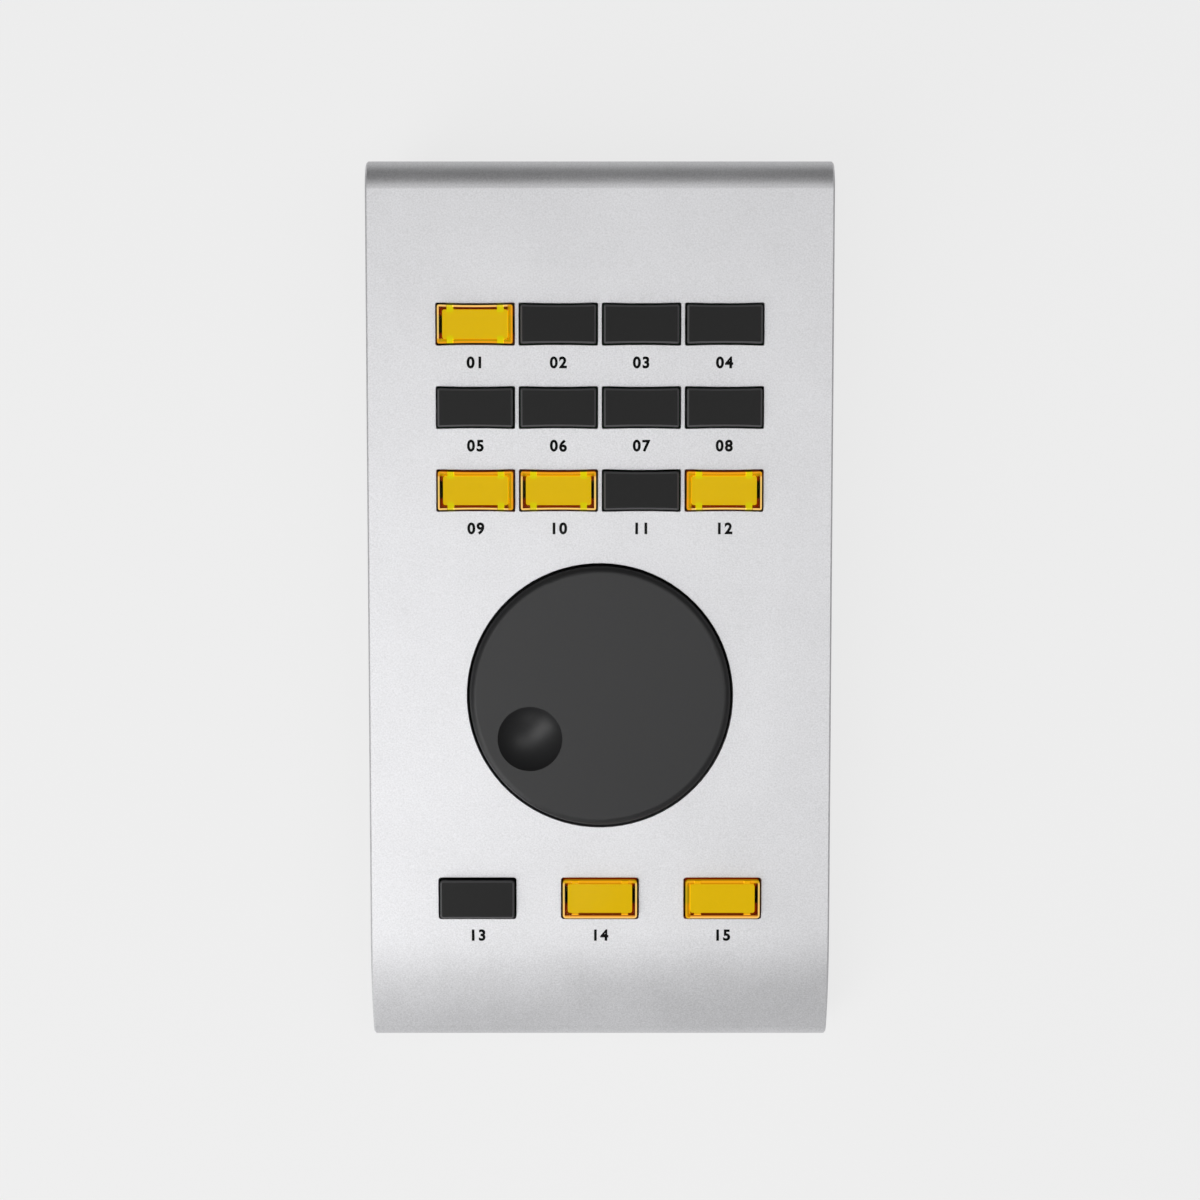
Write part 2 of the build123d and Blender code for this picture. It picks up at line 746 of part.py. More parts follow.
def make_ribbon_cable():
    """The flat cable that joins the two connectors, bent down from one to the other."""
    exit_point = (panel * Pos(0, ribbon_start(), board_bottom - header_height / 2)).position
    start = Vector(exit_point.Y, exit_point.Z)
    end = Vector(io_board_front + header_inset, io_board_top + header_height / 2)
    leave = start + Vector(cos(slope), sin(slope)) * ribbon_run
    arrive = end - Vector(ribbon_run, 0)
    route = FilletPolyline(start, leave, arrive, end, radius=ribbon_bend_radius)
    strip = trace(route, line_width=ribbon_thickness)
    return extrude(Plane.YZ * strip, amount=ribbon_width / 2, both=True)


def save_case():
    """The shell, base, cheeks, rear panel, feet and the screws that hold them."""
    save("top_shell", [make_top_shell()])
    save("base_plate", [make_base_plate()])
    save("left_cheek", [make_cheek(-1)])
    save("right_cheek", [make_cheek(1)])
    save("rear_panel", [make_rear_panel()])
    save("rubber_feet", [Pos(x, y, 0) * make_foot() for x, y in foot_places()])
    screw = flat_screw()
    save("base_screws", [Pos(x, y, foot_height) * screw for x, y in base_screw_places()])
    save("lip_screws", [lip_screw_at(screw, place) for place in lip_screw_places()])


def save_keys():
    """Fifteen keys, each a cap and a plunger, over fifteen switches, domes and lamps."""
    caps = {lower: make_key_cap(lower) for lower in (False, True)}
    plungers = {lower: make_key_plunger(lower) for lower in (False, True)}
    homes = []
    for number, (x, y, lower) in enumerate(key_places(), start=1):
        home = panel * Pos(x, y, 0)
        homes.append(home)
        save(f"key_cap_{number:02d}", [home * caps[lower]])
        save(f"key_plunger_{number:02d}", [home * plungers[lower]])
    for name, piece in (("switch_housings", make_switch_housing()), ("click_domes", make_click_dome()),
                        ("key_leds", make_key_led())):
        save(name, [home * piece for home in homes])


def save_wheel():
    """The wheel, its encoder and the dish under it."""
    save("jog_wheel", [panel * make_jog_wheel()])
    save("encoder_shaft", [panel * make_encoder_shaft()])
    save("encoder_body", [panel * make_encoder_body()])
    save("encoder_nut", [panel * make_encoder_nut()])
    save("encoder_washer", [panel * make_encoder_washer()])
    save("wheel_dish", [panel * make_wheel_dish()])


def save_boards():
    """Both boards with what holds them, and the sockets."""
    save("main_board", [panel * make_main_board()])
    spacer = make_board_spacer()
    screw = pan_screw()
    io_spacer = make_io_spacer()
    save("board_spacers", [panel * Pos(x, y, 0) * spacer for x, y in spacer_places()])
    save("board_screws", [panel * Pos(x, y, board_bottom) * screw for x, y in spacer_places()])
    save("controller_chip", [panel * make_controller_chip()])
    save("io_board", [make_io_board()])
    save("io_spacers", [Pos(x, y, 0) * io_spacer for x, y in io_hole_places()])
    save("io_screws", [Pos(x, y, io_board_top) * Rot(180, 0, 0) * screw for x, y in io_hole_places()])
    save("usb_socket", [make_usb_socket()])
    save("usb_insert", [make_usb_insert()])
    save("jack_socket", [make_jack_socket()])
    save("jack_nut", [make_jack_nut()])
    save("ribbon_headers", make_ribbon_headers())
    save("ribbon_cable", [make_ribbon_cable()])


os.makedirs("parts", exist_ok=True)
save_case()
save_keys()
save_wheel()
save_boards()
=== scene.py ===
import json
from math import acos, cos, pi, radians, sin, sqrt

import bmesh
import bpy
from bpy.props import FloatProperty, FloatVectorProperty, PointerProperty
from bpy.types import Operator, Panel, PropertyGroup
from mathutils import Matrix, Vector


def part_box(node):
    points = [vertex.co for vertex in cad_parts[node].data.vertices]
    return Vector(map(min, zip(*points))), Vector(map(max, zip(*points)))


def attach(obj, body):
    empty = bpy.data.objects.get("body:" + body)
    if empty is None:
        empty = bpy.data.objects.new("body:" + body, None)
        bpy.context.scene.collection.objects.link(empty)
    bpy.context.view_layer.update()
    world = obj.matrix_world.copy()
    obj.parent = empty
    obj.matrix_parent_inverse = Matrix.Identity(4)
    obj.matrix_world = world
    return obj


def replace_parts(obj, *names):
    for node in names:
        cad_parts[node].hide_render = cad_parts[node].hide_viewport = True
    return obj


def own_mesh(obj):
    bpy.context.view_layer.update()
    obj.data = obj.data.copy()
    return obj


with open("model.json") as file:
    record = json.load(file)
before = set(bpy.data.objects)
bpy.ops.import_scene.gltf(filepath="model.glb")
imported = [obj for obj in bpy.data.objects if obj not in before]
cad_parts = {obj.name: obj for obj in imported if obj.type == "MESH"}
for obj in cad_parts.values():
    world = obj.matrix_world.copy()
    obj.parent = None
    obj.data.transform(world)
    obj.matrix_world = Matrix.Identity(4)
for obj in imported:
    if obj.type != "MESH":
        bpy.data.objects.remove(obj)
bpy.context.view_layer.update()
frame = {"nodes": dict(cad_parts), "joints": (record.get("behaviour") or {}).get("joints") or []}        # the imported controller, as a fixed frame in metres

bl_info = {
    "name": "Audio remote controller",
    "version": (1, 0, 0),
    "blender": (4, 5, 0),
    "location": "View3D > Sidebar > Controller",
    "description": "Finishes and small details for a desktop audio remote controller",
    "category": "Object",
}

MM = 0.001

# The panel's own frame: origin at the wheel's centre on its face, X right, Y to the back, Z along its normal.
WHEEL_TURN = next(joint for joint in frame["joints"] if joint["name"] == "wheel_turn")
PANEL_NORMAL = Vector(WHEEL_TURN["axis"]).normalized()
PANEL_RIGHT = Vector((1, 0, 0))
PANEL_BACK = PANEL_NORMAL.cross(PANEL_RIGHT)
PANEL_TURN = Matrix((PANEL_RIGHT, PANEL_BACK, PANEL_NORMAL)).transposed()
PANEL = Matrix.Translation(Vector(WHEEL_TURN["pos_m"])) @ PANEL_TURN.to_4x4()

KEY_NUMBERS = [f"{number:02d}" for number in range(1, 16)]
LIT_KEYS = ("01", "09", "10", "12", "14", "15")
LOWER_KEYS = ("13", "14", "15")

# Keys nearer than this to the panel's middle line have no painted brighter end, and keys further back than this have
# their painted brighter side in front.
MIDDLE_COLUMN = 15 * MM
BACK_ROW = 76 * MM

# Places in a lit key, in millimetres, where light and shade are painted. Of a pair, a share starts at the first and
# is full at the second.
CAP_HALF_WIDTH = 4.45
BAND_FADE = 0.15  # half the width over which a bright side fades in
FINE_FADE = 0.1  # half the width over which a hook or a lip fades in
OUTER_SIDE = (0.45, 0.35)  # a cap's outer wall, in from its long edges
OUTER_END = (0.3, 0.2)  # the same, in from its ends
DARK_GAP = (1.8, 2.4)  # half the dark gap in the middle of a cap's end walls
LIT_WALL = (0.5, 0.2)  # height above the panel under which a cap's walls glow
PROUD = (-0.3, 0.1)  # height above the panel over which the lower row's sides glow
GUIDE_DEPTH = (-4.6, 0.3)  # a light guide's foot and face, above the panel
DEEP_SHARE = 0.15  # share of a guide's height at its deep glow
SHOULDER_SHARE = 0.85  # the same at its shoulder
HOOK_REACH = 2.7  # where a hook's bright part starts, out from a key's long middle line
LOWER_HOOK_REACH = 3.9  # the same in the lower row
# Painted shade: the share by which a cap's painted light is darkened over a hook.
HOOK_HIDES = 0.85  # share of a cap's light that is lost over a hook

# Cosines with the panel's normal between which a cap's face counts as upward, and as flat.
UPWARD = (0.3, 0.5)
FLAT = (0.8, 0.95)

# Of every finish's grain: how much wider its broad patches are, their share, and the span of noise used.
BROAD_PATCH = 60
BROAD_SHARE = 0.25
NOISE_SPAN = (0.32, 0.68)

# Of a case screw: the sides of its head, its shank and its socket.
HEAD_SIDES = 40
SHANK_SIDES = 24
SOCKET_SIDES = 6

# Of a click dome: its steps from top to rim and round.
DOME_STEPS = 8
DOME_SEGMENTS = 32

# Of the built-in typeface at size 1: how far its outline is pushed out for a bolder print, how high a digit then is,
# and how far the digits are set apart.
LEGEND_WEIGHT = 0.04
DIGIT_HEIGHT = 0.78
LEGEND_SPACING = 1.2

# Of the soft boxes: bearing from the right and rise, both in degrees, and the setting that holds the power.
SOFT_BOXES = (
    ("left_box_18", -135, 18, "left_power"),
    ("left_box_42", -135, 42, "left_power"),
    ("left_box_65", -135, 65, "left_power"),
    ("right_box", 0, 65, "right_power"),
    ("top_box", 0, 90, "top_power"),
    ("front_box", -90, 18, "front_power"),
)

# Of the floor: half its side in metres, the share that is shown plain, and that share's strength.
FLOOR_REACH = 6
FLOOR_SHARE = 0.9
FLOOR_STRENGTH = 1.02

SENSOR_WIDTH = 36  # of the camera, in millimetres


def linear(hex_colour):
    """The linear red, green and blue of an sRGB hex colour."""
    shares = [int(hex_colour[i:i + 2], 16) / 255 for i in (1, 3, 5)]
    return tuple(c / 12.92 if c <= 0.04045 else ((c + 0.055) / 1.055) ** 2.4 for c in shares)


def length(name, description, millimetres):
    """A length that a user may change."""
    return FloatProperty(name=name, description=description, default=millimetres * MM, unit="LENGTH", precision=5)


def power(name, description, watts):
    """A lamp's power that a user may change."""
    return FloatProperty(name=name, description=description, default=watts, unit="POWER")


def colour(name, description, hex_colour):
    """A colour that a user may change."""
    return FloatVectorProperty(name=name, description=description, default=linear(hex_colour), size=3,
                               min=0, max=1, subtype="COLOR")


class ControllerSizes(PropertyGroup):
    """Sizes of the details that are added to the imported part."""
    legend_height: length("Legend height", "Height of the numbers printed in front of the keys", 2.75)
    legend_drop: length("Legend distance", "From a key's middle to the middle of its number", 8.9)
    ink_thickness: length("Ink thickness", "How far the printed ink stands on the panel", 0.015)
    nose_start: length("Nose start", "From the wheel's centre forward to where the panel starts to curve", 56.5)
    nose_radius: length("Nose radius", "Radius of the panel's curved front", 44.0)
    blast_grain: length("Blasting grain", "Width of the pits that bead blasting leaves", 0.35)
    # The two bands below set the width of a lit cap's painted brighter sides.
    band: length("Cap edge", "Width of the band between a cap's edge and its light guide", 1.1)
    lower_band: length("Lower cap edge", "Width of that band on the lower row", 0.6)
    # The bright lip is a painted glow.
    lip_band: length("Lower cap lip", "Width of the bright lip at the front of the lower row's caps", 0.72)
    hook_width: length("Hook width", "Width of the light guide's snap hooks", 1.5)
    hook_inset: length("Hook inset", "From a key's middle along its length to a hook's middle", 5.78)
    screw_head_radius: length("Screw head", "Radius of the case screws' heads", 2.8)
    screw_head_height: length("Screw head height", "Height of the case screws' heads", 1.4)
    screw_radius: length("Screw shank", "Radius of the case screws' shanks", 1.5)
    screw_length: length("Screw length", "Length of the case screws", 5.5)
    socket_flats: length("Socket flats", "Width across flats of the screws' sockets", 2.0)
    socket_depth: length("Socket depth", "Depth of the screws' sockets", 1.0)
    dome_thickness: length("Dome thickness", "Thickness of the click domes' sprung steel", 0.15)
    contact_width: length("Contact width", "Width of a contact in the lead's inlet", 1.1)
    contact_length: length("Contact length", "Length of a contact in the lead's inlet", 5.5)
    contact_thickness: length("Contact thickness", "Thickness of a contact in the lead's inlet", 0.12)
    contact_pitch: length("Contact pitch", "Spacing of the contacts in the lead's inlet", 2.5)
    conductor_pitch: length("Conductor pitch", "Spacing of the wires in the ribbon", 1.27)


class ControllerColours(PropertyGroup):
    """Colours of the main finishes."""
    aluminium: colour("Aluminium", "Bead-blasted, clear anodised shell", "#D6D6D8")
    wheel: colour("Wheel", "Satin black wheel", "#212122")
    unlit_cap: colour("Unlit cap", "Smoked cap of a key that is off", "#161616")
    # Painted highlight: the paler line on a smoked cap's bevel.
    painted_bevel_highlight: colour("Cap edge", "Paler bevel of a smoked cap", "#545455")
    amber: colour("Amber", "Clear cap over a lit key", "#F3E795")
    # The light guide's glow stands in for the key's lamp; its shading by height and its brighter hooks are painted
    # light.
    glow: colour("Glow", "Face of a lit key's light guide", "#E1C320")
    shoulder_glow: colour("Shoulder glow", "Just under the face of a lit key's light guide", "#D08414")
    lower_shoulder_glow: colour("Lower shoulder glow", "The same in the lower row", "#D69C18")
    deep_glow: colour("Deep glow", "Low on a lit key's light guide", "#A02A00")
    foot_glow: colour("Foot glow", "Foot of a lit key's light guide", "#2A0600")
    painted_hook_glow: colour("Hook glow", "Snap hooks of a lit key's light guide", "#DADA10")
    # Painted glow on a lit cap's bevel.
    painted_edge_glow: colour("Edge glow", "Bevel of a lit key's cap", "#EEC86E")
    # Painted light on the sides of a lit cap nearest the keys' middle, here and in the lower row.
    painted_side_glow: colour("Side glow", "Inner part of a lit cap's brighter sides", "#876A00")
    painted_rim_glow: colour("Rim glow", "Bevel of a lit cap's brighter sides", "#C4801C")
    painted_lower_side_glow: colour("Lower side glow", "Walls of the lower row's brighter sides", "#987604")
    painted_lower_rim_glow: colour("Lower rim glow", "Bevel of the lower row's brighter sides", "#C4A518")
    # Painted glows on the lower caps' front lip and on the low walls of lit caps.
    painted_lip_glow: colour("Lip glow", "Front edge of the lower row's lit caps", "#E0A038")
    painted_wall_glow: colour("Wall glow", "Lower walls of a lit key's cap", "#601600")
    # Painted shade, laid on the outside of a lit cap's walls.
    painted_shade_on_cap_wall: colour("Cap wall", "Outer walls of a lit key's cap, which keep the light in", "#1C0A02")
    ink: colour("Ink", "Printed numbers", "#060606")
    red_wire: colour("Red wire", "Edge of the ribbon that marks its first wire", "#8E1B16")
    floor: colour("Floor", "Pale studio floor", "#EEEEEE")


class ControllerStage(PropertyGroup):
    """Camera and light."""
    lens: FloatProperty(name="Lens", description="Focal length on a 36 mm wide sensor", default=80, unit="CAMERA")
    camera_height: length("Camera height", "Height of the camera above the floor", 648.4)
    camera_back: length("Camera back", "How far behind the origin the camera hangs", 1.22)
    camera_right: length("Camera right", "How far right of the origin the camera hangs", 0.02)
    lamp_distance: length("Lamp distance", "From the soft boxes to the panel", 1000)
    lamp_size: length("Lamp size", "Side of each soft box", 500)
    left_power: power("Left boxes", "Power of each soft box in the column at the front left", 2.2)
    right_power: power("Right box", "Power of the soft box on the right", 1.3)
    top_power: power("Top box", "Power of the soft box overhead", 1.15)
    front_power: power("Front box", "Power of the low soft box in front", 0.5)
    sky_front: FloatProperty(name="Sky in front", description="Level of the sky in front", default=0.25, min=0)
    sky_back: FloatProperty(name="Sky behind", description="Level of the sky behind", default=0.15, min=0)


def values(context):
    """The sizes and the colours in the scene."""
    return context.scene.controller_sizes, context.scene.controller_colours


def add_node(tree, kind, inputs=(), **options):
    """Adds one node, sets its options, and sets or links its inputs by name or number.

    A Mix node's sockets go by number: 0 its share, 2 and 3 its values, 6 and 7 its colours, output 2 its colour.
    """
    made = tree.nodes.new(kind)
    for name, value in options.items():
        setattr(made, name, value)
    for key, value in dict(inputs).items():
        if isinstance(value, bpy.types.NodeSocket):
            tree.links.new(value, made.inputs[key])
        else:
            made.inputs[key].default_value = value
    return made


def rgba(tone):
    """A colour with full alpha, from a hex value or from linear parts."""
    parts = linear(tone) if isinstance(tone, str) else tuple(tone)
    return (*parts[:3], 1.0)


def shades(tone, darker, lighter):
    """A colour's two shades for a grain."""
    return Vector(tone) * darker, Vector(tone) * lighter


def grained(name, dark, light, grain, rough, pit, **constants):
    """A finish whose colour, roughness and height follow one fine grain, with broad soft patches over it.

    The grain's width and the depth of its pits are in millimetres.
    """
    material = bpy.data.materials.new(name)
    material.use_nodes = True
    tree = material.node_tree
    width = grain * MM
    place = add_node(tree, "ShaderNodeTexCoord").outputs["Object"]
    fine = add_node(tree, "ShaderNodeTexNoise", {"Vector": place, "Scale": 1 / width, "Detail": 2.0,
                                                 "Roughness": 0.6}).outputs["Fac"]
    broad = add_node(tree, "ShaderNodeTexNoise", {"Vector": place, "Scale": 1 / (BROAD_PATCH * width),
                                                  "Detail": 2.0}).outputs["Fac"]
    both = add_node(tree, "ShaderNodeMix", {0: BROAD_SHARE, 2: fine, 3: broad})
    spread = add_node(tree, "ShaderNodeMapRange", {"Value": both.outputs[0], "From Min": NOISE_SPAN[0],
                                                   "From Max": NOISE_SPAN[1]}).outputs["Result"]
    tone = add_node(tree, "ShaderNodeMix", {0: spread, 6: rgba(dark), 7: rgba(light)}, data_type="RGBA", label="tone")
    dull = add_node(tree, "ShaderNodeMapRange", {"Value": spread, "To Min": rough[0], "To Max": rough[1]})
    bump = add_node(tree, "ShaderNodeBump", {"Height": fine, "Strength": 1.0, "Distance": pit * MM})
    surface = tree.nodes["Principled BSDF"]
    tree.links.new(tone.outputs[2], surface.inputs["Base Color"])
    tree.links.new(dull.outputs["Result"], surface.inputs["Roughness"])
    tree.links.new(bump.outputs["Normal"], surface.inputs["Normal"])
    for socket, value in constants.items():
        surface.inputs[socket.replace("_", " ")].default_value = value
    return material


def overlay(material, share, second):
    """Lays a second colour over a finish's own by a share."""
    tree = material.node_tree
    own = next(node for node in tree.nodes if node.label == "tone")
    mixed = add_node(tree, "ShaderNodeMix", {0: share, 6: own.outputs[2], 7: rgba(second)}, data_type="RGBA")
    tree.links.new(mixed.outputs[2], tree.nodes["Principled BSDF"].inputs["Base Color"])


def give_light(material, light, layers):
    """Lays painted lights over a first one, each by its share, and lets the finish give off the result as painted
    light.
    """
    tree = material.node_tree
    for share, second in layers:
        light = add_node(tree, "ShaderNodeMix", {0: share, 6: light, 7: second}, data_type="RGBA").outputs[2]
    tree.links.new(light, tree.nodes["Principled BSDF"].inputs["Emission Color"])


def facing(tree, direction, low, high):
    """Nodes that go from 0 to 1 as a face turns towards a direction, between two cosines."""
    normal = add_node(tree, "ShaderNodeNewGeometry").outputs["Normal"]
    cosine = add_node(tree, "ShaderNodeVectorMath", {0: normal, 1: direction}, operation="DOT_PRODUCT")
    return add_node(tree, "ShaderNodeMapRange", {"Value": cosine.outputs["Value"], "From Min": low,
                                                 "From Max": high}).outputs["Result"]


def beyond(tree, value, start, full):
    """Nodes that go from 0 to 1 as a value, whatever its sign, goes from one size to another."""
    size = add_node(tree, "ShaderNodeMath", {0: value}, operation="ABSOLUTE")
    return add_node(tree, "ShaderNodeMapRange", {"Value": size.outputs[0], "From Min": start,
                                                 "From Max": full}).outputs["Result"]


def cap_faces(tree):
    """Nodes that give 1 on a cap's upward faces, on its flat face, and on its bevel."""
    upward, flat = (facing(tree, PANEL_NORMAL, *cosines) for cosines in (UPWARD, FLAT))
    bevel = add_node(tree, "ShaderNodeMath", {0: upward, 1: flat}, operation="SUBTRACT", use_clamp=True)
    return upward, flat, bevel.outputs[0]


def key_place(number):
    """A key's middle on the panel's face, in the panel's frame."""
    low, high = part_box(f"key_cap_{number}")
    middle = PANEL.inverted() @ ((low + high) / 2)
    return Vector((middle.x, middle.y, 0))


def shade(node, material):
    """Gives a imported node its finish."""
    slots = frame["nodes"][node].material_slots
    if not slots:
        raise RuntimeError(f"{node} has no material slot")
    for slot in slots:
        slot.link = "OBJECT"
        slot.material = material


def new_piece(name, mesh, body, material=None):
    """Puts a finished mesh at the origin as one piece that rides on a body."""
    mesh.name = name
    piece = bpy.data.objects.new(name, mesh)
    bpy.context.scene.collection.objects.link(piece)
    if material:
        mesh.materials.clear()
        mesh.materials.append(material)
    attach(piece, body)
    return piece


def grower_tree(name, inputs):
    """A new node tree that takes places, a finish and the named inputs, and what those inputs give."""
    tree = bpy.data.node_groups.new(name, "GeometryNodeTree")
    for label, kind in (("Places", "Geometry"), *inputs, ("Finish", "Material")):
        tree.interface.new_socket(label, in_out="INPUT", socket_type=f"NodeSocket{kind}")
    tree.interface.new_socket("Grown", in_out="OUTPUT", socket_type="NodeSocketGeometry")
    return tree, add_node(tree, "NodeGroupInput").outputs


def put_on_places(tree, given, shape, turn=(0, 0, 0)):
    """Ends a grower's tree: its shape goes on every place, is made real and gets its finish."""
    points = add_node(tree, "GeometryNodeMeshToPoints", {"Mesh": given["Places"]})
    put = add_node(tree, "GeometryNodeInstanceOnPoints", {"Points": points.outputs["Points"], "Instance": shape,
                                                          "Rotation": turn})
    real = add_node(tree, "GeometryNodeRealizeInstances", {"Geometry": put.outputs["Instances"]})
    done = add_node(tree, "GeometryNodeSetMaterial", {"Geometry": real.outputs["Geometry"],
                                                      "Material": given["Finish"]})
    add_node(tree, "NodeGroupOutput", {"Grown": done.outputs["Geometry"]})


def grown_mesh(tree, places, inputs):
    """The plain mesh that a grower's tree makes on a list of places, with its inputs set by name."""
    mesh = bpy.data.meshes.new("places")
    mesh.from_pydata([tuple(place) for place in places], [], [])
    grower = bpy.data.objects.new("grower", mesh)
    bpy.context.scene.collection.objects.link(grower)
    modifier = grower.modifiers.new("grower", "NODES")
    modifier.node_group = tree
    for item in tree.interface.items_tree:
        if item.in_out == "INPUT" and item.name in inputs:
            modifier[item.identifier] = inputs[item.name]
    bpy.context.view_layer.update()
    grown = bpy.data.meshes.new_from_object(grower.evaluated_get(bpy.context.evaluated_depsgraph_get()))
    grower.modifiers.remove(modifier)
    bpy.data.objects.remove(grower)
    if not grown.polygons:
        raise RuntimeError(f"{tree.name} made nothing")
    return grown


def solid_boxes(node, turn=Matrix()):
    """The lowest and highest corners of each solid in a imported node, in the frame that a matrix leads to."""
    copy = bmesh.new()
    copy.from_mesh(frame["nodes"][node].data)
    copy.transform(turn)
    bmesh.ops.remove_doubles(copy, verts=copy.verts, dist=0.001 * MM)
    boxes = []
    seen = set()
    for start in copy.verts:
        if start in seen:
            continue
        seen.add(start)
        island = [start]
        for point in island:
            for edge in point.link_edges:
                other = edge.other_vert(point)
                if other not in seen:
                    seen.add(other)
                    island.append(other)
        boxes.append([Vector([pick(p.co[i] for p in island) for i in range(3)]) for pick in (min, max)])
    copy.free()
    return boxes


def turned_mesh(profile, segments):
    """A closed mesh turned about Z from radius and height pairs that start and end on the axis."""
    turned = bmesh.new()
    steps = [2 * pi * step / segments for step in range(segments)]
    rings = [[turned.verts.new((radius * cos(step), radius * sin(step), height)) for step in steps]
             for radius, height in profile[1:-1]]
    first, last = (turned.verts.new((0, 0, end[1])) for end in (profile[0], profile[-1]))
    for i in range(segments):
        j = (i + 1) % segments
        turned.faces.new((first, rings[0][i], rings[0][j]))
        turned.faces.new((last, rings[-1][j], rings[-1][i]))
        for upper, lower in zip(rings, rings[1:]):
            turned.faces.new((upper[i], lower[i], lower[j], upper[j]))
    mesh = bpy.data.meshes.new("turned")
    turned.to_mesh(mesh)
    turned.free()
    return mesh


class CONTROLLER_OT_case(Operator):
    """Finish the folded shell, the cheeks, the base, the rear panel and the feet"""
    bl_idname = "controller.case"
    bl_label = "Case"

    def execute(self, context):
        sizes, colours = values(context)
        # Bead-blasted, clear anodised aluminium: a fine even sparkle with no direction and broad soft reflections.
        # The grain is drawn a little coarser than real blasting so that it shows.
        shell = grained("blasted_aluminium", *shades(colours.aluminium, 0.83, 1.12), grain=sizes.blast_grain / MM,
                        rough=(0.5, 0.6), pit=0.01, Metallic=1.0)
        # Powder-coated steel: black with a fine orange-peel texture and a soft sheen.
        coat = grained("black_powder_coat", "#141415", "#1E1E1F", grain=0.5, rough=(0.42, 0.6), pit=0.05)
        # Moulded ABS from a spark-eroded tool: dull black, even fine grain.
        moulded = grained("black_abs", "#161617", "#202021", grain=0.4, rough=(0.52, 0.68), pit=0.03)
        # Moulded rubber: dull, dusty black.
        rubber = grained("foot_rubber", "#111111", "#1F1F1E", grain=0.6, rough=(0.75, 0.92), pit=0.03)
        for node, material in (("top_shell", shell), ("base_plate", coat), ("rear_panel", coat),
                               ("left_cheek", moulded), ("right_cheek", moulded), ("rubber_feet", rubber)):
            shade(node, material)
        return {"FINISHED"}


class CONTROLLER_OT_case_screws(Operator):
    """Grow the socket screws that hold the case together"""
    bl_idname = "controller.case_screws"
    bl_label = "Case screws"

    def execute(self, context):
        sizes = context.scene.controller_sizes
        # Black-oxide steel: near black with a thin oily sheen.
        oxide = grained("black_oxide_steel", "#232324", "#343436", grain=0.3, rough=(0.3, 0.42), pit=0.004,
                        Metallic=1.0)
        up = [Vector(((low.x + high.x) / 2, (low.y + high.y) / 2, low.z))
              for low, high in solid_boxes("base_screws")]
        inward = [Vector(((low.x + high.x) / 2, high.y, (low.z + high.z) / 2))
                  for low, high in solid_boxes("lip_screws")]
        tree = self.screw_tree()
        inputs = {"Head radius": sizes.screw_head_radius, "Head height": sizes.screw_head_height,
                  "Shank radius": sizes.screw_radius, "Length": sizes.screw_length,
                  "Socket radius": sizes.socket_flats / sqrt(3), "Socket depth": sizes.socket_depth, "Finish": oxide}
        for name, node, places, turn in (("base_socket_screws", "base_screws", up, (0, 0, 0)),
                                         ("lip_socket_screws", "lip_screws", inward, (pi / 2, 0, 0))):
            mesh = grown_mesh(tree, places, {**inputs, "Turn": turn})
            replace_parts(new_piece(name, mesh, "housing"), node)
        return {"FINISHED"}

    def screw_tree(self):
        """A node tree that puts one flat-head socket screw, its face at the origin, on every place."""
        measures = ("Head radius", "Head height", "Shank radius", "Length", "Socket radius", "Socket depth")
        tree, given = grower_tree("case_screws", (*((name, "Float") for name in measures), ("Turn", "Vector")))
        head = add_node(tree, "GeometryNodeMeshCone", {"Vertices": HEAD_SIDES, "Radius Top": given["Shank radius"],
                                                       "Radius Bottom": given["Head radius"],
                                                       "Depth": given["Head height"]})
        shank = add_node(tree, "GeometryNodeMeshCylinder", {"Vertices": SHANK_SIDES, "Radius": given["Shank radius"],
                                                            "Depth": given["Length"]})
        middle = add_node(tree, "ShaderNodeMath", {0: given["Length"], 1: 0.5}, operation="MULTIPLY")
        lift = add_node(tree, "ShaderNodeCombineXYZ", {"Z": middle.outputs[0]})
        raised = add_node(tree, "GeometryNodeTransform", {"Geometry": shank.outputs["Mesh"],
                                                          "Translation": lift.outputs[0]})
        # The cutter is centred on the head's face, so half of it is in the screw.
        cutter_height = add_node(tree, "ShaderNodeMath", {0: given["Socket depth"], 1: 2.0}, operation="MULTIPLY")
        cutter = add_node(tree, "GeometryNodeMeshCylinder", {"Vertices": SOCKET_SIDES,
                                                             "Radius": given["Socket radius"],
                                                             "Depth": cutter_height.outputs[0]})
        whole = add_node(tree, "GeometryNodeMeshBoolean", operation="UNION")
        for part in (head.outputs["Mesh"], raised.outputs["Geometry"]):
            tree.links.new(part, whole.inputs["Mesh 2"])
        screw = add_node(tree, "GeometryNodeMeshBoolean", {"Mesh 1": whole.outputs["Mesh"],
                                                           "Mesh 2": cutter.outputs["Mesh"]}, operation="DIFFERENCE")
        put_on_places(tree, given, screw.outputs["Mesh"], given["Turn"])
        return tree


